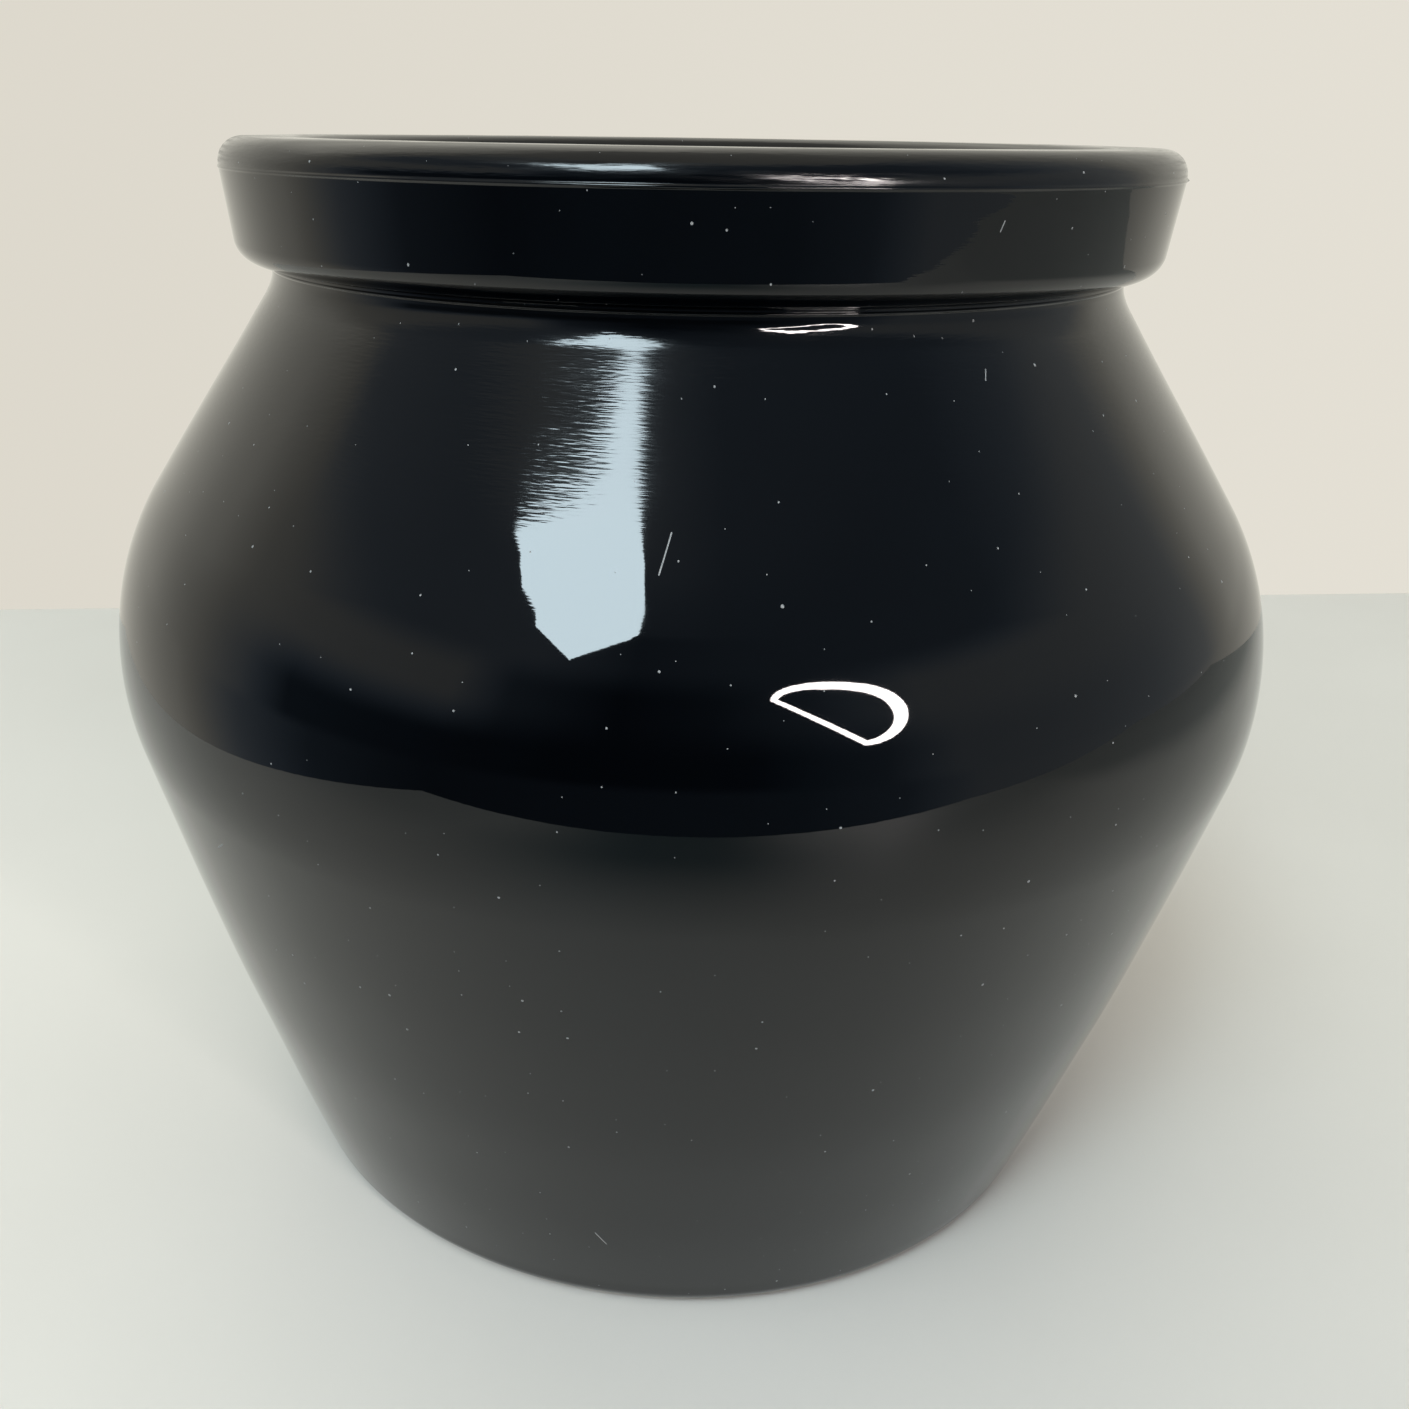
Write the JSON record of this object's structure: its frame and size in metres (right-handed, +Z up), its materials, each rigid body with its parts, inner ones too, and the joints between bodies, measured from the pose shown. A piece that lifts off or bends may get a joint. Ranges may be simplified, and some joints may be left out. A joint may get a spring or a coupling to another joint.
{
  "type": "black pottery jar",
  "caption": "Squat open jar with a wide round belly, sloping shoulder, short neck, thick rim band and a flat foot, in polished black ware.",
  "frame": {"origin": "centre of the flat foot, on the surface the pot stands on", "axes": "+Z up the pot's axis of symmetry, from foot to mouth; X and Y are alike"},
  "size_m": [0.1488, 0.1488, 0.1334],
  "materials": {
    "black_ware": "mirror gloss"
  },
  "bodies": {
    "root": {"base_dish": "black_ware", "lower_wall": "black_ware", "belly_wall": "black_ware", "shoulder_wall": "black_ware", "neck_ring": "black_ware", "rim_band": "black_ware", "lip_ring": "black_ware"}
  },
  "joints": []
}
